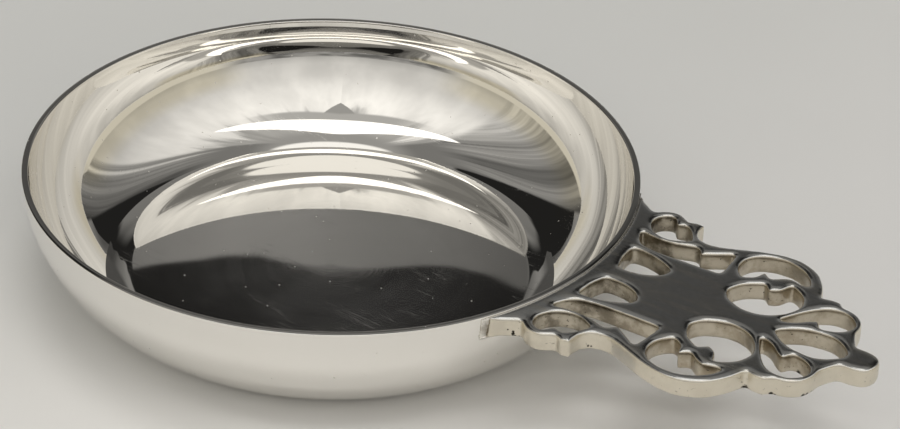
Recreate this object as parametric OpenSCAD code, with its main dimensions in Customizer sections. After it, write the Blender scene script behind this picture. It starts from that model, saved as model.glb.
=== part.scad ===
/*
    Pewter porringer: a shallow turned bowl with one pierced, cast tab handle.

    Lengths are millimetres and +Z is up. The origin is on the bowl's axis, in the
    plane of the table that the bowl stands on. The handle reaches out along +X,
    its left and right halves mirror each other across the XZ plane, and its top
    face meets the rim and rises gently from there.
*/

/* [Bowl] */
// Outside diameter of the rim
bowl_d = 133; // [122:1:144]
// Height from the table to the rim
bowl_h = 28; // [26.5:0.5:30]
// Radius of the wall's upper curve, seen in section
upper_r = 30; // [28:0.5:32]
// Turn of the wall from upright, in degrees, where its flatter lower curve begins
turn_deg = 42; // [37:1:47]
// Radius of the wall's lower curve
lower_r = 36.4; // [33:0.2:40]
// Distance in plan from the rim to the flat part of the base
flat_in = 23; // [21.2:0.2:26]
// Radius of the curve that lifts the base's edge to the crease where the wall begins
edge_r = 26; // [22:0.2:34]
// Thickness of the wall and of the floor
wall_t = 1.4; // [1:0.1:2.2]

/* [Handle] */
// Length from the rim to the tip
handle_len = 63.2; // [52:0.2:74]
// Width across the two widest lobes beside the rim
handle_w = 56.2; // [48:0.2:64]
// Thickness of the casting
handle_t = 4.5; // [3:0.1:6]
// Width of the root where it lies against the bowl
root_w = 58.6; // [54:0.2:66]
// Rise of the top face from the rim towards the tip, in degrees
rise_deg = 2.4; // [0:0.2:6]

/* [Solder] */
// Thickness of the solder between the bowl's wall and the handle's root
seam_t = 0.3; // [0.2:0.05:0.6]
// Size of the solder fillet under the root
seam_fillet = 2; // [1:0.1:3]
// Length by which the solder runs past each end of the root
seam_lap = 1.2; // [0.4:0.1:2.4]

/* [Hidden] */

// Facets of a round shape in a preview
round_fn = 180;
// Steps along each arc of the bowl's section
arc_steps = 18;
// Steps between two neighbouring points of a curve
curve_steps = 4;
// Small overrun of a cutting shape
over = 1;

rim_r = bowl_d / 2;
// Centre of the upper curve, level with the rim
upper_c = [rim_r - upper_r, bowl_h];
// Centre of the lower curve, which runs on tangent from the upper one
lower_c = upper_c - (lower_r - upper_r) * [cos(turn_deg), -sin(turn_deg)];
// Centre of the curve at the base's edge, which runs tangent from the flat base
edge_c = [rim_r - flat_in, edge_r];

// Root of the handle: its ends lie on the outside of the solder
root_y = root_w / 2;
root_x = sqrt(pow(rim_r + seam_t, 2) - pow(root_y, 2)) - rim_r;
// Depth by which the uncut root reaches into the bowl's place
root_stock = 4;

// Length and width at which the handle's pattern is laid out
drawn_len = 63.2;
drawn_w = 56.2;

/*
    The pattern, as points of one half: X from the rim towards the tip, Y from the
    middle line. An outline is a list of runs. A run is a smooth curve through its
    points that ends in a corner, at the first point of the next run.
*/
side_runs = [
    [[-1.0, 25.7], [1.0, 27.5], [3.6, 28.1], [5.6, 27.3]],
    [[7.0, 26.2], [8.8, 27.0]],
    [[10.6, 26.7], [10.8, 23.6], [12.6, 21.4], [16.0, 21.0], [20.0, 22.4], [26.0, 24.9],
        [32.4, 26.1], [38.0, 24.1], [41.4, 20.2]],
    [[43.4, 15.8], [45.2, 16.3]],
    [[47.4, 16.4], [48.6, 15.0], [51.2, 14.5], [53.4, 12.9], [54.6, 10.4], [54.8, 8.0],
        [55.8, 5.6]]
];
tip_run = [[57.0, 3.6], [60.0, 3.6], [62.3, 2.6], [63.2, 0]];

// Rounded triangle beside the middle line, with its flat side towards the bowl
dee_runs = [
    [[2.7, 10.7], [3.0, 6.2]],
    [[4.2, 2.3], [8.6, 2.6], [12.0, 4.2], [13.4, 6.4], [12.6, 8.0], [9.0, 9.8], [5.4, 10.7]]
];
// Long slot with one tooth in its outer side
slot_runs = [
    [[0.6, 17.6], [3.0, 13.4], [7.2, 12.2], [14.0, 12.0]],
    [[22.3, 12.1]],
    [[21.5, 20.6]],
    [[15.3, 16.3], [14.2, 18.0]],
    [[13.0, 18.4], [9.6, 17.2], [5.2, 16.8]]
];
// Crescent in the lobe beside the rim
crescent_runs = [
    [[3.6, 26.5], [1.2, 25.0], [0.7, 22.0], [3.0, 18.8], [7.0, 17.8]],
    [[11.2, 19.8], [9.6, 22.8]],
    [[7.6, 24.8]],
    [[5.5, 23.9], [4.4, 25.4]]
];
// Kidney under the large shoulder, with a toothed inner side
scroll_runs = [
    [[26.4, 13.7], [24.2, 16.6], [24.2, 20.4], [26.6, 23.2], [31.0, 24.3], [35.4, 23.0],
        [38.4, 20.2]],
    [[39.4, 17.6], [37.4, 18.0], [35.2, 18.6], [33.2, 17.6]],
    [[31.6, 16.2]],
    [[29.4, 18.0], [28.6, 15.2]]
];
// Large round eye with one tooth
eye_runs = [
    [[26.5, 7.8], [28.4, 4.9], [33.6, 3.0], [38.6, 4.9], [41.3, 9.6], [40.0, 14.0]],
    [[36.4, 16.5], [35.4, 13.6]],
    [[33.3, 12.1]],
    [[31.7, 13.9], [28.2, 11.4]]
];
// Leaf in the lobe beside the tip
leaf_runs = [
    [[39.8, 3.4], [41.8, 7.2], [44.4, 11.0], [47.0, 13.1], [50.0, 13.4], [52.4, 11.9],
        [53.4, 9.8], [52.4, 7.4], [50.2, 6.0]],
    [[48.0, 5.5]],
    [[46.8, 7.8], [45.2, 6.8], [42.8, 4.6]]
];
// Upper half of the drop on the middle line, by which the porringer hangs
drop_run = [[41.2, 0], [43.6, 2.2], [46.4, 3.7], [49.2, 4.2], [51.8, 4.2], [54.2, 3.0],
    [55.9, 1.4], [56.5, 0]];

// One point of a smooth curve between b and c, with a and d as their neighbours
function between(a, b, c, d, t) =
    0.5 * (2 * b + (c - a) * t + (2 * a - 5 * b + 4 * c - d) * pow(t, 2)
        + (3 * b - a - 3 * c + d) * pow(t, 3));

// Points of the smooth curve through p, without its last point
function curve(p) = len(p) == 2 ? [p[0]] : [
    for (i = [0:len(p) - 2])
        for (k = [0:curve_steps - 1])
            between(p[max(i - 1, 0)], p[i], p[i + 1], p[min(i + 2, len(p) - 1)], k / curve_steps)
];

// Points of a closed outline made of runs
function loop(runs) = [
    for (i = [0:len(runs) - 1])
        each curve(concat(runs[i], [runs[(i + 1) % len(runs)][0]]))
];

// Points that end on the middle line, carried on over it as their own mirror image
function both(p) = concat(p, [for (i = [len(p) - 2:-1:0]) [p[i][0], -p[i][1]]]);

// Pattern points brought to the handle's own length and width
function sized(p) = [for (q = p) [q[0] * handle_len / drawn_len, q[1] * handle_w / drawn_w]];

// Points of an arc about a centre, from one angle to another
function arc(centre, r, from, to) = [
    for (k = [0:arc_steps])
        let (a = from + (to - from) * k / arc_steps)
            centre + r * [cos(a), sin(a)]
];

// Angle of the line from a centre to a point
function heading(centre, p) = atan2(p[1] - centre[1], p[0] - centre[0]);

// Lower one of the two points where two circles cross, the second to the right of the first
function crossing(c1, r1, c2, r2) =
    let (
        apart = norm(c2 - c1),
        u = (c2 - c1) / apart,
        along = (pow(apart, 2) + pow(r1, 2) - pow(r2, 2)) / (2 * apart),
        off = sqrt(pow(r1, 2) - pow(along, 2))
    )
    c1 + along * u + off * [u[1], -u[0]];

// Section of the bowl's outer form, moved outward by grow and carried on above the rim
module bowl_section(grow, above = 0) {
    crease = crossing(lower_c, lower_r + grow, edge_c, edge_r + grow);
    edge = arc(edge_c, edge_r + grow, -90, heading(edge_c, crease));
    lower = arc(lower_c, lower_r + grow, heading(lower_c, crease), -turn_deg);
    upper = arc(upper_c, upper_r + grow, -turn_deg, 0);
    polygon(concat(
        [[0, -grow]],
        edge,
        [for (i = [1:arc_steps]) lower[i]],
        [for (i = [1:arc_steps]) upper[i]],
        [[rim_r + grow, bowl_h + above], [0, bowl_h + above]]
    ));
}

// A block over the root that lies in the handle's own slope, between two heights that
// are measured from the handle's top face
module plate_block(bottom, top) {
    translate([rim_r, 0, bowl_h])
        rotate([0, -rise_deg, 0])
            translate([-upper_r, -root_w, bottom])
                cube([2 * upper_r, 2 * root_w, top - bottom]);
}

// Outline of the handle with its root left long
module handle_outline() {
    upper = sized(loop(concat(side_runs, [[tip_run[0]]])));
    nose = sized(curve(both(tip_run)));
    root = [[root_x - root_stock, root_y], [root_x, root_y]];
    half = concat(root, upper, [for (i = [1:curve_steps * (len(tip_run) - 1)]) nose[i]]);
    polygon(both(half));
}

// Openings in one half of the handle
module half_openings() {
    for (runs = [dee_runs, slot_runs, crescent_runs, scroll_runs, eye_runs, leaf_runs])
        polygon(sized(loop(runs)));
}

// Turned bowl: wall, crease, lifted base edge and flat floor in one sheet
module bowl() {
    color("gainsboro")
        rotate_extrude($fn = round_fn)
            difference() {
                bowl_section(0);
                bowl_section(-wall_t, over);
            }
}

// Cast handle, its root hollowed to the bowl's wall with room for the solder
module handle() {
    color("darkgray")
        difference() {
            translate([rim_r, 0, bowl_h])
                rotate([0, -rise_deg, 0])
                    translate([0, 0, -handle_t])
                        linear_extrude(handle_t)
                            difference() {
                                handle_outline();
                                half_openings();
                                mirror([0, 1])
                                    half_openings();
                                polygon(sized(curve(both(drop_run))));
                            }
            rotate_extrude($fn = round_fn)
                bowl_section(seam_t, over);
        }
}

// Solder: a skin between the root and the wall, and a hollow fillet under the root
module solder_seam() {
    half_deg = asin((root_y + seam_lap) / rim_r);
    // Centre of the fillet's round, which touches the root's underside and the wall
    drop = handle_t + seam_fillet;
    fillet_x = upper_c[0] + sqrt(pow(upper_r + seam_fillet, 2) - pow(drop, 2));
    // Height at which the fillet thins out on the wall, just above where they touch
    toe_z = bowl_h - drop * upper_r / (upper_r + seam_fillet) + seam_fillet / 6;
    color("silver")
        difference() {
            rotate([0, 0, -half_deg])
                rotate_extrude(angle = 2 * half_deg, $fn = round_fn)
                    difference() {
                        translate([upper_c[0], toe_z])
                            square([fillet_x - upper_c[0], bowl_h - toe_z]);
                        translate([fillet_x, bowl_h - drop])
                            circle(r = seam_fillet, $fn = round_fn);
                        bowl_section(0, over);
                    }
            difference() {
                plate_block(-handle_t, 2 * over);
                rotate_extrude($fn = round_fn)
                    bowl_section(seam_t, 4 * over);
            }
            plate_block(0, 2 * over);
        }
}

bowl();
handle();
solder_seam();
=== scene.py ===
"""Pewter porringer: the visual pieces, their finishes and the studio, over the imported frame."""
import logging
import math
from dataclasses import dataclass, field
from enum import Enum
from typing import Optional, Protocol, Sequence, Union

import bmesh
import bpy
from mathutils import Matrix, Vector


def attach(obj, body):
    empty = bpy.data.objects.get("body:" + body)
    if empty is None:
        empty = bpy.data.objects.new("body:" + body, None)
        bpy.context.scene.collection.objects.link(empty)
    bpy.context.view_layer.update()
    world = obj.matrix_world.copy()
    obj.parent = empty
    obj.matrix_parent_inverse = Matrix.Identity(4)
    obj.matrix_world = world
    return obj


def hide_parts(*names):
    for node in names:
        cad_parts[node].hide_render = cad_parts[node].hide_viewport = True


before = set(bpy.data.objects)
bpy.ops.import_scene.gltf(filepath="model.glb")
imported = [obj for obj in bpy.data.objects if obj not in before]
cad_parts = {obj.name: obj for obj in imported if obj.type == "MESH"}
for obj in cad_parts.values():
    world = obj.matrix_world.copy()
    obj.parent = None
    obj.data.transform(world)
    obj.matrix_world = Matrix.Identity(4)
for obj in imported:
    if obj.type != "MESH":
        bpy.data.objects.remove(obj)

LOG = logging.getLogger("porringer")
MM = 0.001
MERGE = 0.002 * MM
Socket = bpy.types.NodeSocket
Feed = Union[float, Sequence[float], Socket]
Colour = tuple[float, float, float]
Span = tuple[float, float]
Stops = tuple[tuple[float, float], ...]
Mark = tuple[float, float, float, float]


class Slot(Enum):
    """The record's material slots."""

    POLISHED = "polished_pewter"
    CAST = "cast_pewter"
    SOLDER = "solder"


class Effect(Enum):
    """The node groups that more than one finish uses."""

    SCUFF = "scuff_and_dust"
    CASTING = "casting_skin"


class Board:
    """A node tree, with short calls that place nodes and join them."""

    def __init__(self, tree: bpy.types.NodeTree) -> None:
        """Take over a node tree."""
        self.tree = tree

    def add(self, kind: str, **settings: object) -> bpy.types.Node:
        """Place one node.

        Args:
            kind: the node's type name.
            settings: properties to set on it.

        Returns:
            The new node.
        """
        node = self.tree.nodes.new(kind)
        for name, value in settings.items():
            setattr(node, name, value)
        return node

    def feed(self, target: Socket, value: Feed) -> None:
        """Join a socket to an input, or set the input's own value.

        Args:
            target: the input.
            value: an output socket, a number or a row of numbers.
        """
        if isinstance(value, bpy.types.NodeSocket):
            self.tree.links.new(value, target)
        elif isinstance(value, (int, float)) or len(value) == len(target.default_value):
            target.default_value = value
        else:
            target.default_value = (*value, 1.0)

    def fill(self, node: bpy.types.Node, **values: Feed) -> bpy.types.Node:
        """Feed several inputs of a node.

        Args:
            node: the node.
            values: its inputs by name, with underscores for spaces.

        Returns:
            The same node.
        """
        for name, value in values.items():
            self.feed(node.inputs[name.replace("_", " ")], value)
        return node

    def math(self, operation: str, a: Feed, b: Feed = 0.0) -> Socket:
        """Place a Math node.

        Args:
            operation: the node's operation.
            a: first value.
            b: second value.

        Returns:
            The node's output.
        """
        node = self.add("ShaderNodeMath", operation=operation)
        self.feed(node.inputs[0], a)
        self.feed(node.inputs[1], b)
        return node.outputs[0]

    def chain(self, operation: str, values: Sequence[Feed]) -> Socket:
        """Join several numbers with one operation, from the first to the last.

        Args:
            operation: the Math node's operation.
            values: two numbers or more.

        Returns:
            The last node's output.
        """
        total = values[0]
        for value in values[1:]:
            total = self.math(operation, total, value)
        return total

    def times(self, *values: Feed) -> Socket:
        """Multiply numbers."""
        return self.chain("MULTIPLY", values)

    def plus(self, *values: Feed) -> Socket:
        """Add numbers."""
        return self.chain("ADD", values)

    def most(self, *values: Feed) -> Socket:
        """Take the greatest of several numbers."""
        return self.chain("MAXIMUM", values)

    def less(self, a: Feed, b: Feed) -> Socket:
        """Take the second number from the first."""
        return self.math("SUBTRACT", a, b)

    def size(self, value: Feed) -> Socket:
        """Drop a number's sign."""
        return self.math("ABSOLUTE", value)

    def squared(self, value: Feed, unit: float = 1.0) -> Socket:
        """Square a number that is measured in a unit."""
        return self.math("POWER", value if unit == 1.0 else self.math("DIVIDE", value, unit), 2.0)

    def radius(self, x: Feed, y: Feed) -> Socket:
        """Measure the distance from the bowl's axis."""
        return self.math("SQRT", self.plus(self.squared(x), self.squared(y)))

    def blend(self, low: Feed, high: Feed, value: Feed, span: Span) -> Socket:
        """Go smoothly from one number to another as a value rises.

        Args:
            low: the number at the start.
            high: the number at the end.
            value: what rises.
            span: the values where the change begins and where it is complete.

        Returns:
            The blended number.
        """
        node = self.add("ShaderNodeMapRange", interpolation_type="SMOOTHSTEP")
        for target, given in zip(node.inputs, (value, *span, low, high)):
            self.feed(target, given)
        return node.outputs[0]

    def grows(self, value: Feed, span: Span) -> Socket:
        """Mask that goes from 0 to 1 as a value passes a span."""
        return self.blend(0.0, 1.0, value, span)

    def fades(self, value: Feed, span: Span) -> Socket:
        """Mask that goes from 1 to 0 as a value passes a span."""
        return self.blend(1.0, 0.0, value, span)

    def mix(self, factor: Feed, a: Feed, b: Feed) -> Socket:
        """Mix two numbers.

        Args:
            factor: how much of the second.
            a: first number.
            b: second number.

        Returns:
            The mixed number.
        """
        node = self.add("ShaderNodeMix", data_type="FLOAT", clamp_factor=True)
        for at, value in zip((0, 2, 3), (factor, a, b)):
            self.feed(node.inputs[at], value)
        return node.outputs[0]

    def tint(self, factor: Feed, a: Feed, b: Feed) -> Socket:
        """Mix two colours.

        Args:
            factor: how much of the second.
            a: first colour.
            b: second colour.

        Returns:
            The mixed colour.
        """
        node = self.add("ShaderNodeMix", data_type="RGBA", clamp_factor=True)
        for at, value in zip((0, 6, 7), (factor, a, b)):
            self.feed(node.inputs[at], value)
        return node.outputs[2]

    def ramp(self, value: Feed, span: float, stops: Stops) -> Socket:
        """Read a number from a row of stops.

        Args:
            value: what the stops are placed along, from 0 to the span.
            span: the value at the end of the row.
            stops: pairs of place and number, in order.

        Returns:
            The number at the value.
        """
        node = self.add("ShaderNodeValToRGB")
        self.feed(node.inputs[0], self.math("DIVIDE", value, span))
        row = node.color_ramp.elements
        peak = max(number for _, number in stops)
        row[0].position, row[1].position = stops[0][0] / span, stops[-1][0] / span
        for at, _ in stops[1:-1]:
            row.new(at / span)
        for stop, (_, number) in zip(row, stops):
            stop.color = (number / peak, number / peak, number / peak, 1.0)
        return self.times(node.outputs[0], peak)

    def noise(
        self, place: Feed, scale: float, detail: float = 2.0, rough: float = 0.5, bend: float = 0.0
    ) -> Socket:
        """Place a Noise Texture.

        Args:
            place: the coordinates it reads.
            scale: its scale.
            detail: its detail.
            rough: its roughness.
            bend: its distortion.

        Returns:
            The noise, about 0.5 on average.
        """
        node = self.add("ShaderNodeTexNoise")
        self.fill(node, Vector=place, Scale=scale, Detail=detail, Roughness=rough, Distortion=bend)
        return node.outputs[0]

    def stretch(self, place: Feed, scale: Sequence[float], turn_deg: float = 0.0) -> Socket:
        """Scale coordinates and turn them about Z with a Mapping node.

        Args:
            place: the coordinates.
            scale: factor along each axis.
            turn_deg: the turn.

        Returns:
            The changed coordinates.
        """
        turn = (0.0, 0.0, math.radians(turn_deg))
        node = self.add("ShaderNodeMapping")
        return self.fill(node, Vector=place, Scale=scale, Rotation=turn).outputs[0]

    def object_place(self) -> Socket:
        """Read the object coordinates."""
        return self.add("ShaderNodeTexCoord").outputs["Object"]

    def split(self, place: Feed) -> tuple[Socket, Socket, Socket]:
        """Take coordinates apart into X, Y and Z."""
        node = self.add("ShaderNodeSeparateXYZ")
        self.feed(node.inputs[0], place)
        return node.outputs[0], node.outputs[1], node.outputs[2]

    def join(self, x: Feed, y: Feed, z: Feed) -> Socket:
        """Put X, Y and Z together."""
        return self.fill(self.add("ShaderNodeCombineXYZ"), X=x, Y=y, Z=z).outputs[0]

    def spot(self, place: Socket, mark: Mark, ragged: float = 1.6, core: float = 0.45) -> Socket:
        """Mask of one small mark.

        Args:
            place: object coordinates.
            mark: its centre and its reach, in millimetres.
            ragged: how uneven its edge is.
            core: share of the reach that it fills fully.

        Returns:
            The mask.
        """
        gap = self.add("ShaderNodeVectorMath", operation="DISTANCE")
        self.feed(gap.inputs[0], place)
        self.feed(gap.inputs[1], [value * MM for value in mark[:3]])
        reach = mark[3] * MM
        uneven = self.times(self.less(self.noise(place, 1500.0, 3.0, 0.7), 0.5), ragged * reach)
        return self.fades(self.plus(gap.outputs["Value"], uneven), (core * reach, reach))

    def effect(self, which: Effect, **values: Feed) -> bpy.types.Node:
        """Place one of the shared node groups.

        Args:
            which: the group.
            values: its inputs by name.

        Returns:
            The group node.
        """
        node = self.add("ShaderNodeGroup", node_tree=bpy.data.node_groups[which.value])
        return self.fill(node, **values)

    def bump(self, shader: bpy.types.Node, height: Socket) -> None:
        """Raise a shader's surface by a height in metres.

        Args:
            shader: the shader.
            height: the height at each point.
        """
        node = self.fill(self.add("ShaderNodeBump"), Strength=1.0, Distance=1.0, Height=height)
        self.feed(shader.inputs["Normal"], node.outputs[0])


def new_group(
    which: Effect, takes: dict[str, Optional[float]], gives: Sequence[str]
) -> tuple[Board, dict[str, Socket], bpy.types.Node]:
    """Start a shader node group with named inputs and outputs.

    Args:
        which: the group.
        takes: input name to default number, or to None where it takes coordinates.
        gives: names of its outputs, all numbers.

    Returns:
        The group's board, its inputs by name, and its output node.
    """
    tree = bpy.data.node_groups.new(which.value, "ShaderNodeTree")
    for name, value in takes.items():
        kind = "NodeSocketVector" if value is None else "NodeSocketFloat"
        made = tree.interface.new_socket(name=name, in_out="INPUT", socket_type=kind)
        if value is not None:
            made.default_value = value
    for name in gives:
        tree.interface.new_socket(name=name, in_out="OUTPUT", socket_type="NodeSocketFloat")
    board = Board(tree)
    source = board.add("NodeGroupInput")
    sink = board.add("NodeGroupOutput")
    return board, {name: source.outputs[name] for name in takes}, sink


def build_scuff() -> None:
    """Build the node group of fine scratches in three directions and specks of dust."""
    board, given, sink = new_group(
        Effect.SCUFF, {"Place": None, "Scratches": 0.5, "Dust": 0.5}, ("Scratch", "Speck")
    )
    place = given["Place"]
    along_lines, even = (28.0, 900.0, 300.0), (60.0, 60.0, 60.0)
    runs = []
    for turn_deg, width in ((18.0, 0.012), (-37.0, 0.010), (74.0, 0.010)):
        lines = board.noise(board.stretch(place, along_lines, turn_deg), 1.0, 1.0)
        thin = board.fades(board.size(board.less(lines, 0.5)), (0.0, width))
        where = board.noise(board.stretch(place, even, turn_deg), 1.0, 1.0)
        runs.append(board.times(thin, board.grows(where, (0.55, 0.7))))
    scratch = board.times(board.most(*runs), given["Scratches"])
    cells = board.fill(board.add("ShaderNodeTexVoronoi", feature="F1"), Vector=place, Scale=380.0)
    grains = board.fades(cells.outputs["Distance"], (0.04, 0.1))
    picked = board.grows(board.split(cells.outputs["Color"])[0], (0.5, 0.54))
    board.fill(sink, Scratch=scratch, Speck=board.times(grains, picked, given["Dust"]))


def build_casting() -> None:
    """Build the node group of a cast skin: its grain, its pits and the patches of its tarnish."""
    board, given, sink = new_group(
        Effect.CASTING, {"Place": None, "Pits": 0.5, "Grain": 0.5}, ("Height", "Pit", "Patch")
    )
    place = given["Place"]
    grain = board.times(board.noise(place, 2600.0, 3.0, 0.6), 0.35)
    skin = board.times(board.plus(grain, board.noise(place, 620.0, 2.0, 0.5)), given["Grain"])
    holes = board.noise(place, 1100.0, 3.0, 0.65, 0.4)
    pit = board.times(board.grows(holes, (0.64, 0.72)), given["Pits"])
    patch = board.grows(board.noise(place, 200.0, 5.0, 0.66), (0.3, 0.72))
    board.fill(sink, Height=board.less(skin, board.times(pit, 1.5)), Pit=pit, Patch=patch)


class Finish(Protocol):
    """What a piece asks of its finish."""

    def material(self) -> bpy.types.Material:
        """Build the material."""


def new_surface(
    name: str, metallic: float = 1.0
) -> tuple[bpy.types.Material, Board, bpy.types.Node]:
    """Start a material.

    Args:
        name: the material's name.
        metallic: 1 for bare metal, 0 for anything else.

    Returns:
        The material, its board and its shader.
    """
    made = bpy.data.materials.new(name)
    made.use_nodes = True
    shader = made.node_tree.nodes["Principled BSDF"]
    shader.inputs["Metallic"].default_value = metallic
    return made, Board(made.node_tree), shader


@dataclass(frozen=True)
class PolishedPewter:
    """Mirror-polished turned pewter of the bowl."""

    clean: Colour = (0.865, 0.85, 0.815)
    dull: Colour = (0.74, 0.72, 0.68)
    roughness: float = 0.016
    ring_height: float = 0.0006 * MM
    ring_scale: float = 5200.0
    wave_height: float = 0.014 * MM
    haze_roughness: float = 0.34
    haze_ior: float = 2.0
    haze_radius: Span = (18.0 * MM, 43.0 * MM)
    inner_face: Span = (0.6 * MM, 1.0 * MM)
    floor_top: Span = (2.5 * MM, 4.0 * MM)

    def material(self) -> bpy.types.Material:
        """Build the material, with turning rings, scratches, dust and a worn haze on the floor.

        Returns:
            The finished material.
        """
        made, board, shader = new_surface("polished_pewter_finish")
        place = board.object_place()
        x, y, z = board.split(place)
        radius = board.radius(x, y)
        marks = board.effect(Effect.SCUFF, Place=place, Scratches=1.0, Dust=1.0)
        scratch, speck = marks.outputs["Scratch"], marks.outputs["Speck"]
        cloud = board.noise(place, 35.0, 3.0, 0.55)
        dim = board.most(speck, board.blend(0.0, 0.25, cloud, (0.5, 0.8)))
        rough = board.plus(
            board.blend(self.roughness * 0.7, self.roughness * 1.6, cloud, (0.3, 0.75)),
            board.times(scratch, 0.12),
            board.times(speck, 0.5),
        )
        board.fill(
            shader,
            Base_Color=board.tint(dim, self.clean, self.dull),
            Roughness=rough,
            Coat_Weight=self.haze(board, place, radius, z),
            Coat_Roughness=self.haze_roughness,
            Coat_IOR=self.haze_ior,
        )
        across, up = board.times(radius, self.ring_scale), board.times(z, self.ring_scale)
        rings = board.noise(board.join(across, up, board.noise(place, 9.0)), 1.0, 2.0)
        waves = board.times(board.noise(place, 40.0, 1.0), self.wave_height)
        board.bump(shader, board.plus(waves, board.times(rings, self.ring_height)))
        return made

    def haze(self, board: Board, place: Socket, radius: Socket, z: Socket) -> Socket:
        """Weigh the haze that use has worn into the bowl's floor, in faint rings and patches.

        Args:
            board: the material's board.
            place: object coordinates.
            radius: distance from the bowl's axis.
            z: height over the table.

        Returns:
            The weight, 0 away from the floor.
        """
        x, y, _ = board.split(place)
        on_floor = board.times(
            board.fades(radius, self.haze_radius),
            board.fades(z, self.floor_top),
            board.grows(z, self.inner_face),
        )
        rings = board.join(board.times(radius, 1500.0), board.times(x, 22.0), board.times(y, 22.0))
        streak = board.blend(0.4, 0.85, board.noise(rings, 1.0, 3.0, 0.6), (0.3, 0.7))
        patches = board.blend(0.55, 1.25, board.noise(place, 45.0, 3.0, 0.6), (0.35, 0.65))
        return board.times(on_floor, board.times(streak, patches))


@dataclass(frozen=True)
class CastPewter:
    """Satin cast pewter of the handle, with dull recesses, small pits and stains, some dark spots
    of painted shade in grooves, and lighter streaks on top that are partly painted sheen.
    """

    clean: Colour = (0.735, 0.688, 0.585)
    top: Colour = (0.66, 0.665, 0.655)
    dull: Colour = (0.36, 0.31, 0.235)
    deep: Colour = (0.15, 0.128, 0.095)
    # Colour of the pits and of the painted shade in grooves.
    pit_and_shade_black: Colour = (0.03, 0.026, 0.02)
    rubbed: Colour = (0.60, 0.59, 0.56)
    roughness: float = 0.15
    side_roughness: float = 0.28
    skin_height: float = 0.016 * MM
    pit_depth: float = 0.03 * MM
    swell: float = 0.06 * MM
    rise: float = 0.22 * MM
    root_radius: Span = (66.5 * MM, 70.5 * MM)
    deep_until: Span = (74.0 * MM, 90.0 * MM)
    turns_over: Span = (0.35, 0.85)
    # Dark spots: casting pits, and some painted shade where grooves of the openings lie in shadow.
    pits_and_shade_spots: tuple[Mark, ...] = (
        (64.2, -26.6, 24.9, 0.4), (64.2, -26.6, 24.3, 0.5), (64.5, -26.4, 23.7, 0.5),
        (65.3, -25.9, 23.8, 0.3), (63.3, -27.2, 25.3, 0.2), (78.6, -21.9, 25.1, 0.3),
        (79.1, -21.5, 25.0, 0.22), (110.2, -16.3, 25.9, 0.9), (115.2, -15.1, 26.1, 0.55),
        (115.9, -14.9, 26.0, 0.45), (120.4, -12.0, 26.2, 0.6), (120.9, -11.3, 26.3, 0.5),
        (121.3, -10.2, 26.4, 0.4), (116.2, -5.8, 26.2, 0.8),
    )
    worn: tuple[Mark, ...] = (
        (85.4, -22.0, 26.0, 3.0), (88.4, -23.3, 26.2, 3.2), (72.0, 3.0, 28.0, 6.0),
    )

    def material(self) -> bpy.types.Material:
        """Build the material.

        Returns:
            The finished material.
        """
        made, board, shader = new_surface("cast_pewter_finish")
        place = board.object_place()
        x, y, _ = board.split(place)
        marks = board.effect(Effect.SCUFF, Place=place, Scratches=0.6, Dust=0.5)
        skin = board.effect(Effect.CASTING, Place=place, Pits=1.0, Grain=1.0)
        patch = skin.outputs["Patch"]
        upright = board.split(board.add("ShaderNodeNewGeometry").outputs["Normal"])[2]
        side = board.fades(upright, self.turns_over)
        recess = board.add("ShaderNodeAttribute", attribute_name="recess").outputs["Fac"]
        # Lighter streaks along the top: brushed smears, partly a painted sheen.
        smear_and_sheen = board.noise(board.stretch(place, (60.0, 420.0, 420.0)), 1.0, 3.0, 0.6)

        on_top = board.tint(board.blend(0.0, 0.4, smear_and_sheen, (0.4, 0.7)), self.top, self.clean)
        base = board.tint(side, on_top, self.clean)
        for mark in self.worn:
            rubbed = board.times(board.spot(place, mark, 1.2, 0.3), 0.55)
            base = board.tint(rubbed, base, self.rubbed)
        tarnish = board.most(
            board.times(recess, board.blend(0.5, 0.95, patch, (0.0, 1.0)), side),
            board.times(patch, side, 0.16),
        )
        uneven = board.blend(0.4, 1.0, patch, (0.2, 0.8))
        inner = board.times(board.fades(x, self.deep_until), uneven)
        base = board.tint(tarnish, base, board.tint(inner, self.dull, self.deep))
        pitted = board.times(skin.outputs["Pit"], side, board.blend(0.45, 0.95, recess, (0.0, 1.0)))
        # Pits and the listed dark spots, partly real pits and partly painted shade in grooves.
        dark = board.most(pitted, *(board.spot(place, mark) for mark in self.pits_and_shade_spots))

        grain = board.noise(board.stretch(place, (700.0, 5200.0, 5200.0)), 1.0, 2.0)
        satin = board.plus(
            board.blend(self.roughness * 0.85, self.roughness * 1.25, grain, (0.35, 0.65)),
            board.times(marks.outputs["Scratch"], 0.1),
            board.blend(0.0, 0.05, smear_and_sheen, (0.5, 0.75)),
        )
        rough = board.plus(board.mix(side, satin, self.side_roughness), board.times(dark, 0.3))
        board.fill(shader, Base_Color=board.tint(dark, base, self.pit_and_shade_black), Roughness=rough)

        cast = board.mix(side, self.skin_height * 0.1, self.skin_height)
        pits = board.times(dark, self.pit_depth)
        fine = board.less(board.times(skin.outputs["Height"], cast), pits)
        swell = board.times(board.noise(place, 85.0, 1.0), self.swell)
        root = board.blend(self.rise, 0.0, board.radius(x, y), self.root_radius)
        board.bump(shader, board.plus(fine, swell, root))
        return made


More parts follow.
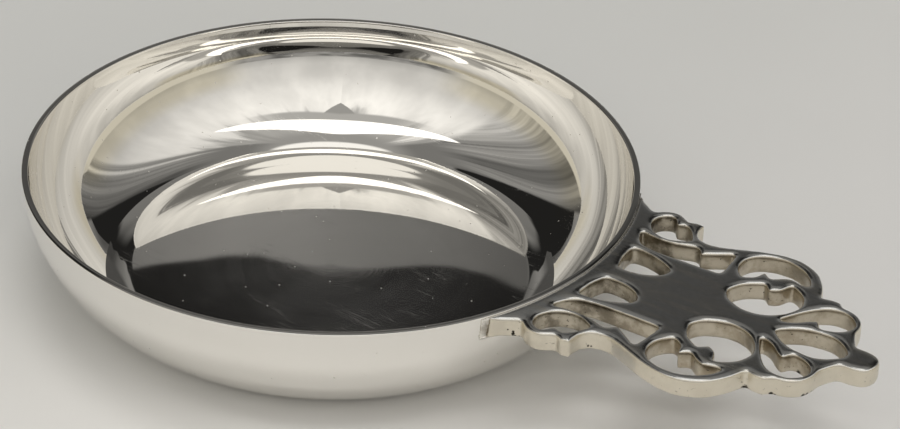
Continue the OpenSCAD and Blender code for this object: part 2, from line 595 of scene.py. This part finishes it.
@dataclass(frozen=True)
class SolderSkin:
    """Smooth satin solder at the handle's root."""

    clean: Colour = (0.80, 0.78, 0.74)
    dull: Colour = (0.30, 0.27, 0.22)
    roughness: float = 0.12
    skin_height: float = 0.006 * MM
    stain: Mark = (60.0, -29.2, 25.2, 2.6)

    def material(self) -> bpy.types.Material:
        """Build the material.

        Returns:
            The finished material.
        """
        made, board, shader = new_surface("solder_finish")
        place = board.object_place()
        skin = board.effect(Effect.CASTING, Place=place, Pits=0.5, Grain=0.6)
        marks = board.effect(Effect.SCUFF, Place=place, Scratches=0.5, Dust=0.4)
        patch = skin.outputs["Patch"]
        uneven = board.blend(0.35, 1.0, patch, (0.0, 1.0))
        stain = board.times(board.spot(place, self.stain, 1.4, 0.35), uneven)
        scuffed = board.plus(marks.outputs["Scratch"], self.roughness)
        board.fill(
            shader,
            Base_Color=board.tint(board.most(skin.outputs["Pit"], stain), self.clean, self.dull),
            Roughness=board.plus(board.times(patch, 0.08), scuffed),
        )
        board.bump(shader, board.times(skin.outputs["Height"], self.skin_height))
        return made


def smooth_faces(mesh: bmesh.types.BMesh) -> None:
    """Shade every face smooth."""
    for face in mesh.faces:
        face.smooth = True


def sharp_edges(
    mesh: bmesh.types.BMesh, turn: float, heights: Span
) -> list[bmesh.types.BMEdge]:
    """Find the edges at a height where two faces turn sharply.

    Args:
        mesh: the mesh.
        turn: the least turn between the two faces, in radians.
        heights: both ends of an edge lie between these two.

    Returns:
        The edges.
    """
    low, high = heights
    return [
        edge for edge in mesh.edges
        if edge.is_manifold and edge.calc_face_angle() > turn
        and all(low < vert.co.z < high for vert in edge.verts)
    ]


def round_off(
    mesh: bmesh.types.BMesh, edges: list[bmesh.types.BMEdge], width: float, segments: int
) -> None:
    """Round edges off.

    Args:
        mesh: the mesh.
        edges: the edges.
        width: how far the rounding reaches to either side.
        segments: how many faces it has.
    """
    bmesh.ops.bevel(
        mesh, geom=edges, offset=width, offset_type="OFFSET", segments=segments, profile=0.5,
        affect="EDGES", material=-1,
    )


def place_piece(
    name: str, mesh: bmesh.types.BMesh, slot: Slot, finish: bpy.types.Material, *nodes: str
) -> bpy.types.Object:
    """Make an object of a finished mesh and set it on the frame.

    Args:
        name: the piece's name.
        mesh: its mesh, which is freed.
        slot: not used.
        finish: its material.
        nodes: the CAD nodes that it stands for.

    Returns:
        The new object.
    """
    data = bpy.data.meshes.new(name)
    mesh.to_mesh(data)
    mesh.free()
    made = bpy.data.objects.new(name, data)
    bpy.context.scene.collection.objects.link(made)
    data.materials.append(finish)
    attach(made, "root")
    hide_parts(*nodes)
    return made


@dataclass
class Arc:
    """One arc of the bowl's section: its centre, how far it turns and in how many steps."""

    centre: Vector
    turn_deg: float
    steps: int

    def trace(self, mesh: bmesh.types.BMesh, start: bmesh.types.BMVert) -> bmesh.types.BMVert:
        """Draw the arc by turning a point about the centre.

        Args:
            mesh: the section's mesh.
            start: the point where the arc starts.

        Returns:
            The point where it ends.
        """
        made = bmesh.ops.spin(
            mesh,
            geom=[start],
            cent=self.centre,
            axis=Vector((0.0, 1.0, 0.0)),
            angle=math.radians(self.turn_deg),
            steps=self.steps,
            use_duplicate=False,
        )
        return next(item for item in made["geom_last"] if isinstance(item, bmesh.types.BMVert))


@dataclass
class TurnedBowl:
    """The turned bowl: a flat base, a creased lower wall and an almost upright lip."""

    rim_radius: float = 66.5 * MM
    height: float = 28.0 * MM
    wall: float = 1.4 * MM
    upper_radius: float = 30.0 * MM
    lower_radius: float = 36.4 * MM
    edge_radius: float = 26.0 * MM
    upper_turn: float = 42.0
    flat_in: float = 23.0 * MM
    around: int = 360
    arc_steps: tuple[int, int, int] = (14, 28, 40)
    lip_turn: float = 1.2
    crease_turn: float = 0.2
    lip_round: float = 0.16 * MM
    crease_round: float = 0.9 * MM
    outer_crease: Span = (-0.01 * MM, 1.0 * MM)
    inner_crease: Span = (1.0 * MM, 4.0 * MM)
    finish: Finish = field(default_factory=PolishedPewter)

    def upper_centre(self) -> Vector:
        """Centre of the upper arc, in the plane of the section."""
        return Vector((self.rim_radius - self.upper_radius, 0.0, self.height))

    def lower_centre(self) -> Vector:
        """Centre of the lower arc, in line with the joint of the two arcs."""
        turn = math.radians(self.upper_turn)
        way = Vector((math.cos(turn), 0.0, -math.sin(turn)))
        return self.upper_centre() - (self.lower_radius - self.upper_radius) * way

    def edge_centre(self) -> Vector:
        """Centre of the arc that lifts the base's edge to the crease."""
        return Vector((self.rim_radius - self.flat_in, 0.0, self.edge_radius))

    def crease(self, lower: float, edge: float) -> Vector:
        """Find where the lower arc meets the base's edge arc.

        Args:
            lower: radius of the lower arc.
            edge: radius of the edge arc.

        Returns:
            The crossing point that lies lower and further out.
        """
        one, two = self.lower_centre(), self.edge_centre()
        gap = (two - one).length
        along = (lower ** 2 - edge ** 2 + gap ** 2) / (2 * gap)
        off = math.sqrt(lower ** 2 - along ** 2)
        way = (two - one) / gap
        across = Vector((way.z, 0.0, -way.x))
        points = [one + way * along + across * off * sign for sign in (1.0, -1.0)]
        return min(points, key=lambda point: point.z)

    def skin(self, mesh: bmesh.types.BMesh, inset: float) -> bmesh.types.BMVert:
        """Trace one skin of the section, from the axis out to the lip.

        Args:
            mesh: the section's mesh.
            inset: how far the skin lies inside the outer face.

        Returns:
            The point at the lip.
        """
        upper, lower, edge = self.upper_centre(), self.lower_centre(), self.edge_centre()
        bend = self.crease(self.lower_radius - inset, self.edge_radius - inset)
        edge_turn = math.degrees(math.atan2(bend.x - edge.x, edge.z - bend.z))
        bend_turn = math.degrees(math.atan2(lower.z - bend.z, bend.x - lower.x))
        axis = mesh.verts.new((0.0, 0.0, inset))
        point = mesh.verts.new((edge.x, 0.0, inset))
        mesh.edges.new((axis, point))
        turns = (-edge_turn, -(bend_turn - self.upper_turn), -self.upper_turn)
        for centre, turn, steps in zip((edge, lower, upper), turns, self.arc_steps):
            point = Arc(centre, turn, steps).trace(mesh, point)
        return point

    def build(self) -> bpy.types.Object:
        """Spin the section, round its edges and dress it.

        Returns:
            The bowl.
        """
        mesh = bmesh.new()
        mesh.edges.new((self.skin(mesh, 0.0), self.skin(mesh, self.wall)))
        bmesh.ops.spin(
            mesh, geom=list(mesh.verts) + list(mesh.edges), cent=Vector(),
            axis=Vector((0.0, 0.0, 1.0)), angle=math.tau, steps=self.around, use_merge=True,
            use_duplicate=False,
        )
        bmesh.ops.remove_doubles(mesh, verts=mesh.verts, dist=MERGE)
        bmesh.ops.recalc_face_normals(mesh, faces=mesh.faces)
        close = 0.01 * MM
        lips = sharp_edges(mesh, self.lip_turn, (self.height - close, self.height + close))
        round_off(mesh, lips, self.lip_round, 4)
        outer = sharp_edges(mesh, self.crease_turn, self.outer_crease)
        round_off(mesh, outer, self.crease_round, 6)
        smooth_faces(mesh)
        for edge in sharp_edges(mesh, self.crease_turn, self.inner_crease):
            edge.smooth = False
        made = place_piece("turned_bowl", mesh, Slot.POLISHED, self.finish.material(), "bowl")
        LOG.info("turned bowl: %d faces, lip edges %d", len(made.data.polygons), len(lips))
        return made


def mark_recesses(mesh: bmesh.types.BMesh) -> None:
    """Mark the walls of the openings, where polish doesn't reach, in the attribute "recess".

    Args:
        mesh: a level plate with an even skin.
    """
    layer = mesh.verts.layers.float.new("recess")
    mesh.faces.ensure_lookup_table()
    mesh.normal_update()
    left = {face.index for face in mesh.faces if abs(face.normal.z) < 0.75}
    walls: list[list[int]] = []
    while left:
        wall = [left.pop()]
        for index in wall:
            edges = mesh.faces[index].edges
            near = {other.index for edge in edges for other in edge.link_faces} & left
            left -= near
            wall.extend(near)
        walls.append(wall)
    for wall in sorted(walls, key=len)[:-1]:
        for index in wall:
            for vert in mesh.faces[index].verts:
                vert[layer] = 1.0


@dataclass
class SoftPiece:
    """A piece made of a CAD node whose edges are softened: an even skin, then smoothed."""

    node: str
    name: str
    slot: Slot
    voxel: float
    passes: int
    finish: Finish
    pinned: float = 0.0

    def level(self) -> Matrix:
        """The turn that lays the node level while its skin is made."""
        return Matrix.Identity(4)

    def even_skin(self, made: bpy.types.Object) -> bmesh.types.BMesh:
        """Cover a piece with cells of one size.

        Args:
            made: the piece.

        Returns:
            The mesh of its new skin.
        """
        remesh = made.modifiers.new("even_skin", "REMESH")
        remesh.mode = "VOXEL"
        remesh.voxel_size = self.voxel
        evaluated = made.evaluated_get(bpy.context.evaluated_depsgraph_get())
        even = bpy.data.meshes.new_from_object(evaluated)
        made.modifiers.clear()
        skin = bmesh.new()
        skin.from_mesh(even)
        bpy.data.meshes.remove(even)
        return skin

    def build(self) -> bpy.types.Object:
        """Soften a copy of the CAD node and dress it.

        Returns:
            The piece.
        """
        level = self.level()
        mesh = bmesh.new()
        mesh.from_mesh(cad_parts[self.node].data)
        bmesh.ops.remove_doubles(mesh, verts=mesh.verts, dist=MERGE)
        bmesh.ops.transform(mesh, matrix=level, verts=mesh.verts)
        made = place_piece(self.name, mesh, self.slot, self.finish.material(), self.node)
        skin = self.even_skin(made)
        free = [vert for vert in skin.verts if vert.co.xy.length > self.pinned]
        for _ in range(self.passes):
            bmesh.ops.smooth_vert(
                skin, verts=free, factor=0.5, use_axis_x=True, use_axis_y=True, use_axis_z=True
            )
        mark_recesses(skin)
        bmesh.ops.transform(skin, matrix=level.inverted(), verts=skin.verts)
        smooth_faces(skin)
        skin.to_mesh(made.data)
        skin.free()
        LOG.info("%s: %d faces", self.name, len(made.data.polygons))
        return made


@dataclass
class CastHandle(SoftPiece):
    """The pierced handle, with the soft edges that casting and polishing give it."""

    node: str = "handle"
    name: str = "cast_handle"
    slot: Slot = Slot.CAST
    voxel: float = 0.3 * MM
    passes: int = 22
    finish: Finish = field(default_factory=CastPewter)
    pinned: float = 67.3 * MM
    root: Vector = field(default_factory=lambda: Vector((66.5, 0.0, 28.0)) * MM)
    slope_deg: float = 2.4

    def level(self) -> Matrix:
        """The turn about the root that takes the handle's slope away."""
        turn = Matrix.Rotation(math.radians(self.slope_deg), 4, "Y")
        return Matrix.Translation(self.root) @ turn @ Matrix.Translation(-self.root)


@dataclass
class SolderJoint(SoftPiece):
    """The solder between the handle's root and the wall."""

    node: str = "solder_seam"
    name: str = "solder_bead"
    slot: Slot = Slot.SOLDER
    voxel: float = 0.12 * MM
    passes: int = 2
    finish: Finish = field(default_factory=SolderSkin)


@dataclass
class Room:
    """The surroundings that the metal mirrors, painted on the world by direction.

    A bearing is the angle round from the far side, to the right, and a rise is the angle over
    the horizon, both in degrees. A table pairs such an angle with a brightness or a rise.
    """

    away_deg: float
    strip_light: float = 4.0
    lower_shine: float = 2.0
    top_shine: float = 1.1
    overhead: float = 0.34
    below: float = 0.5
    gap: float = 0.015
    backdrop: Colour = (0.55, 0.545, 0.525)
    arc_start: float = 62.0
    arc: float = 120.0
    panel_by_rise: Stops = (
        (0.0, 0.44), (7.0, 0.48), (14.0, 0.66), (26.0, 0.76), (38.0, 0.96), (50.0, 1.08),
        (58.0, 1.0), (68.0, 0.5), (90.0, 0.4),
    )
    panel_by_bearing: Stops = (
        (60.0, 0.72), (75.0, 0.76), (100.0, 0.84), (130.0, 0.93), (160.0, 1.0), (180.0, 1.0),
    )
    left_folds: Stops = (
        (48.0, 0.03), (52.0, 0.12), (56.0, 0.26), (62.0, 0.28), (64.5, 0.13), (70.0, 0.12),
        (73.0, 0.24), (79.0, 0.33), (84.0, 0.29), (87.0, 0.2), (90.0, 0.36), (97.0, 0.45),
        (108.0, 0.52),
    )
    right_folds: Stops = (
        (36.0, 0.03), (40.0, 0.10), (44.0, 0.12), (46.0, 0.2), (50.0, 0.24), (54.0, 0.2),
        (56.5, 0.28), (58.0, 0.6), (59.5, 0.3), (61.0, 0.28), (64.0, 0.56),
    )
    gap_floor: Stops = (
        (-62.0, 17.0), (-44.0, 18.0), (-36.0, 20.5), (-28.0, 26.0), (-18.0, 33.0), (-14.0, 34.6),
        (-9.6, 33.3), (-8.4, 33.17), (-7.3, 33.06), (-6.0, 32.98), (-5.2, 32.93), (-4.6, 33.05),
        (-3.6, 33.18), (-2.2, 33.22), (-1.2, 33.14), (-0.2, 33.10), (0.5, 33.17), (1.2, 33.3),
        (2.3, 33.55), (3.0, 33.65), (6.0, 33.5), (10.0, 34.6), (14.0, 33.0), (24.0, 26.0),
        (32.0, 20.5), (40.0, 18.0), (58.0, 17.0),
    )
    gap_roof: Stops = (
        (0.0, 35.0), (8.0, 35.6), (12.0, 38.0), (16.0, 42.0), (24.0, 48.0), (60.0, 62.0),
    )
    far_by_bearing: Stops = (
        (-54.0, 0.16), (-42.0, 0.09), (-12.0, 0.08), (-9.5, 0.14), (-8.0, 0.19), (-6.0, 0.23),
        (-4.0, 0.21), (-2.0, 0.165), (0.0, 0.14), (1.6, 0.11), (3.0, 0.075), (5.0, 0.055),
        (10.0, 0.055), (38.0, 0.09), (48.0, 0.16),
    )
    far_high: Stops = ((38.0, 0.18), (56.0, 0.21), (70.0, 0.24), (80.0, 0.3))
    far_middle: Stops = ((0.0, 0.07), (40.0, 0.09), (54.0, 0.2))
    far_low: Stops = ((0.0, 0.16), (24.0, 0.14), (30.0, 0.08), (40.0, 0.09), (54.0, 0.2))
    band_top: Stops = (
        (40.0, 0.0), (56.0, 13.5), (80.0, 12.0), (110.0, 9.0), (140.0, 7.6), (180.0, 7.6),
    )
    band_sides: Stops = ((50.0, 0.66), (120.0, 0.62), (130.0, 0.4))

    def __post_init__(self) -> None:
        """Make the world, and read the bearing and the rise of every direction."""
        world = bpy.data.worlds.new("studio")
        bpy.context.scene.world = world
        world.use_nodes = True
        board = Board(world.node_tree)
        self.board: Board = board
        self.glow: bpy.types.Node = world.node_tree.nodes["Background"]
        seen = board.add("ShaderNodeTexCoord").outputs["Generated"]
        x, y, z = board.split(board.stretch(seen, (1.0, 1.0, 1.0), -self.away_deg))
        self.way: tuple[Socket, Socket, Socket] = (x, y, z)
        self.bearing: Socket = board.math("DEGREES", board.math("ARCTAN2", x, y))
        self.around: Socket = board.size(self.bearing)
        self.behind: Socket = board.less(180.0, self.around)
        self.rise: Socket = board.math("DEGREES", board.math("ARCSINE", z))

    def paint(self) -> None:
        """Lay the parts of the room over each other, from the sides to the lamps."""
        board = self.board
        light = self.sides()
        light = board.mix(self.panel_cut(), light, self.panel())
        light = board.mix(self.far_cut(), light, self.far_side())
        light = board.mix(self.low_cut(), light, self.low_band())
        light = board.mix(board.grows(self.rise, (70.0, 78.0)), light, self.overhead)
        path = board.add("ShaderNodeLightPath").outputs
        lamps = ((self.long_lamp(), self.lower_shine), (self.top_lamp(), self.top_shine))
        for lamp, shine in lamps:
            seen = board.mix(path["Is Glossy Ray"], self.strip_light, shine)
            light = board.mix(lamp, light, seen)
        light = board.mix(board.fades(self.rise, (-1.0, 0.5)), light, self.below)
        warmth = board.times(
            board.grows(self.behind, (34.0, 56.0)),
            board.fades(self.rise, (16.0, 30.0)),
            board.fades(self.behind, (122.0, 134.0)),
        )
        green = board.times(light, board.mix(warmth, 0.975, 0.93))
        blue = board.times(light, board.mix(warmth, 0.93, 0.76))
        warm = board.join(light, green, blue)
        shown = board.tint(path["Is Camera Ray"], warm, self.backdrop)
        board.fill(self.glow, Color=shown, Strength=1.0)

    def by_bearing(self, stops: Stops) -> Socket:
        """Read a number from stops that are placed by bearing on the far side."""
        placed = tuple((at + self.arc_start, number) for at, number in stops)
        return self.board.ramp(self.board.plus(self.bearing, self.arc_start), self.arc, placed)

    def cloth(self, across: Socket, scale: Span, seed: float, *texture: float) -> Socket:
        """Noise that varies across and up the room.

        Args:
            across: the angle that it varies along.
            scale: how fast it varies with that angle and with the rise.
            seed: tells one noise from another.
            texture: the noise's detail, roughness and distortion.

        Returns:
            The noise, about 0.5 on average.
        """
        board = self.board
        place = board.join(board.times(across, scale[0]), board.times(self.rise, scale[1]), seed)
        return board.noise(place, 1.0, *texture)

    def lean(self) -> Socket:
        """How far the side folds lean back toward the long lamp's ends, in degrees."""
        board = self.board
        up = board.math("DIVIDE", board.most(board.less(self.rise, 15.0), 0.0), 30.0)
        return board.times(up, up, 10.0)

    def panel_cut(self) -> Socket:
        """Mask of the pale panel, upright at its left edge and leaning at its right one."""
        board = self.board
        left = board.fades(self.bearing, (-114.0, -108.0))
        edge = board.less(board.less(self.bearing, 62.0), self.lean())
        return board.most(left, board.grows(edge, (-1.0, 3.0)))

    def panel(self) -> Socket:
        """Brightness of the pale panel behind the camera, pleated under the long lamp.

        Returns:
            The brightness.
        """
        board = self.board
        pleat = board.less(self.cloth(self.bearing, (0.11, 0.02), 0.0, 3.0, 0.6, 0.3), 0.5)
        slack = board.times(pleat, board.blend(0.0, 64.0, self.rise, (30.0, 62.0)))
        value = board.ramp(board.plus(self.rise, slack), 90.0, self.panel_by_rise)
        fade = board.ramp(self.around, 180.0, self.panel_by_bearing)
        drape = self.cloth(self.bearing, (0.07, 0.03), 5.0, 3.0, 0.55)
        value = board.times(value, fade, board.blend(0.9, 1.07, drape, (0.3, 0.7)))
        notch_edge = board.times(board.less(self.rise, 51.6), 1.15)
        notch = board.fades(board.less(self.behind, notch_edge), (-0.35, 0.35))
        value = board.mix(notch, value, 0.36)
        hem_edge = board.plus(self.rise, board.times(self.behind, 0.12))
        hem = board.times(
            board.grows(hem_edge, (60.0, 62.0)), board.fades(self.behind, (34.0, 62.0))
        )
        return board.mix(hem, value, 0.47)

    def sides(self) -> Socket:
        """Brightness of the folded cloth at the two sides.

        Returns:
            The brightness.
        """
        board = self.board
        across = board.less(self.around, self.lean())
        left = board.ramp(across, 180.0, self.left_folds)
        right = board.ramp(across, 180.0, self.right_folds)
        folds = board.mix(board.grows(self.bearing, (-1.0, 1.0)), left, right)
        ripple = self.cloth(across, (0.35, 0.015), 3.0, 2.0, 0.5)
        folds = board.times(folds, board.blend(0.72, 1.28, ripple, (0.3, 0.7)))
        return board.mix(board.grows(self.rise, (52.0, 66.0)), folds, 0.2)

    def far_cut(self) -> Socket:
        """Mask of the far side, which narrows toward the floor."""
        board = self.board
        shift = board.times(board.less(self.rise, 20.0), 0.5)
        left = board.grows(board.plus(self.bearing, shift), (-53.0, -51.0))
        return board.times(left, board.fades(board.less(self.bearing, shift), (37.0, 39.0)))

    def far_side(self) -> Socket:
        """Brightness of the far side, with the dark gap that the bowl's wall and floor mirror.

        Returns:
            The brightness.
        """
        board = self.board
        off = board.size(board.plus(self.bearing, 2.0))
        over = board.grows(board.less(self.rise, self.by_bearing(self.gap_floor)), (-0.04, 0.04))
        roof = board.ramp(off, 60.0, self.gap_roof)
        under = board.fades(board.less(self.rise, roof), (-1.0, 1.0))
        high = board.ramp(self.rise, 90.0, self.far_high)
        near = self.by_bearing(self.far_by_bearing)
        light = board.mix(board.grows(self.rise, (35.0, 39.0)), near, high)
        for span, stops in (((31.2, 32.2), self.far_middle), ((26.2, 27.0), self.far_low)):
            light = board.mix(board.fades(self.rise, span), light, board.ramp(off, 60.0, stops))
        light = board.mix(board.fades(self.rise, (16.0, 22.0)), light, 0.22)
        return board.mix(board.times(over, under), light, self.gap)

    def low_cut(self) -> Socket:
        """Mask of the band just above the horizon."""
        top = self.board.ramp(self.around, 180.0, self.band_top)
        return self.board.fades(self.board.less(self.rise, top), (-0.5, 0.5))

    def low_band(self) -> Socket:
        """Brightness of the band above the horizon: pale at the sides, grey behind the camera."""
        board = self.board
        patch = self.cloth(self.bearing, (0.08, 0.25), 1.0, 2.0, 0.6)
        grey = board.blend(0.14, 0.34, patch, (0.35, 0.65))
        pale = board.ramp(self.behind, 180.0, self.band_sides)
        return board.mix(board.grows(self.behind, (34.0, 52.0)), grey, pale)

    def long_lamp(self) -> Socket:
        """Mask of the long lamp high behind the camera, bent down and narrowed to its ends.

        Returns:
            The mask.
        """
        board = self.board
        middle = board.less(71.5, board.times(board.squared(self.behind, 60.0), 11.0))
        ends = board.less(1.0, board.squared(self.behind, 78.0))
        half = board.less(board.times(board.math("SQRT", board.most(0.0, ends)), 7.2), 1.7)
        off = board.less(board.size(board.less(self.rise, middle)), half)
        return board.fades(off, (-0.6, 0.6))

    def top_lamp(self) -> Socket:
        """Mask of the round lamp overhead, wider than it is deep.

        Returns:
            The mask.
        """
        board = self.board
        x, y, z = self.way
        up = board.most(z, 0.05)
        right = board.math("DIVIDE", x, up)
        away = board.less(board.math("DIVIDE", y, up), 0.08)
        reach = board.plus(board.squared(right, 0.25), board.squared(away, 0.187))
        return board.fades(reach, (0.85, 1.15))


@dataclass
class Studio:
    """The camera, the floor and the room round them."""

    away_deg: float = 32.96
    tilt_deg: float = 58.159
    roll_deg: float = 3.0
    lens: float = 96.0
    eye: Vector = field(default_factory=lambda: Vector((0.26445, -0.36041, 0.29277)))
    floor_radius: float = 4.0
    # Floor colours hold painted light: darker to the left and far away, paler to the right and
    # toward the camera.
    left_floor_painted_shade: Colour = (0.715, 0.725, 0.72)
    right_floor_painted_light: Colour = (0.80, 0.80, 0.80)
    near_floor_painted_light: Colour = (0.97, 0.955, 0.93)
    shaded_cloth: Colour = (0.55, 0.55, 0.54)

    def camera(self) -> bpy.types.Object:
        """Set the camera at the photograph's angle.

        Returns:
            The camera.
        """
        data = bpy.data.cameras.new("view")
        data.lens = self.lens
        data.sensor_width = 36.0
        data.clip_start, data.clip_end = 0.01, 20.0
        made = bpy.data.objects.new("view", data)
        made.matrix_world = Matrix.Translation(self.eye)
        for angle, axis in ((self.away_deg, "Z"), (self.tilt_deg, "X"), (self.roll_deg, "Z")):
            made.matrix_world @= Matrix.Rotation(math.radians(angle), 4, axis)
        bpy.context.scene.collection.objects.link(made)
        bpy.context.scene.camera = made
        return made

    def floor_paint(self) -> bpy.types.Material:
        """Paint the floor, with painted light that makes it paler toward the camera and to the
        right, and clear from below.

        Returns:
            The material.
        """
        made, board, shader = new_surface("pale_floor", metallic=0.0)
        place = board.object_place()
        x, y, _ = board.split(place)
        turn = math.radians(self.away_deg)
        away = board.plus(board.times(x, -math.sin(turn)), board.times(y, math.cos(turn)))
        right = board.plus(board.times(x, math.cos(turn)), board.times(y, math.sin(turn)))
        # Painted light: the floor's colour brightens toward the camera and to the right, where the
        # light falls more strongly.
        near = board.fades(board.plus(away, board.times(right, 0.35)), (-0.22, 0.05))
        painted_light_to_right = board.grows(board.less(right, away), (-0.1, 0.15))
        far = board.tint(painted_light_to_right, self.left_floor_painted_shade, self.right_floor_painted_light)
        cloth = board.blend(0.0, 0.06, board.noise(place, 9.0, 3.0), (0.35, 0.65))
        far = board.tint(cloth, far, self.shaded_cloth)
        under = board.add("ShaderNodeNewGeometry").outputs["Backfacing"]
        board.fill(
            shader,
            Base_Color=board.tint(near, far, self.near_floor_painted_light),
            Roughness=0.6,
            Specular_IOR_Level=0.2,
            Alpha=board.less(1.0, under),
        )
        return made

    def floor(self) -> bpy.types.Object:
        """Lay the plain pale floor.

        Returns:
            The floor.
        """
        mesh = bmesh.new()
        bmesh.ops.create_circle(mesh, cap_ends=True, segments=128, radius=self.floor_radius)
        data = bpy.data.meshes.new("floor")
        mesh.to_mesh(data)
        mesh.free()
        made = bpy.data.objects.new("floor", data)
        bpy.context.scene.collection.objects.link(made)
        data.materials.append(self.floor_paint())
        return made

    def build(self) -> None:
        """Make the camera, the floor and the room."""
        self.camera()
        self.floor()
        Room(self.away_deg).paint()
        scene = bpy.context.scene
        scene.view_settings.view_transform = "Standard"
        scene.cycles.max_bounces = 16
        scene.cycles.glossy_bounces = 12
        LOG.info("studio: camera, floor and surroundings")


def main() -> None:
    """Build the porringer and its studio."""
    logging.basicConfig(level=logging.INFO, format="%(name)s: %(message)s")
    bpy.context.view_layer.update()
    Studio().build()
    build_scuff()
    build_casting()
    TurnedBowl().build()
    CastHandle().build()
    SolderJoint().build()


if __name__ == "__main__":
    main()
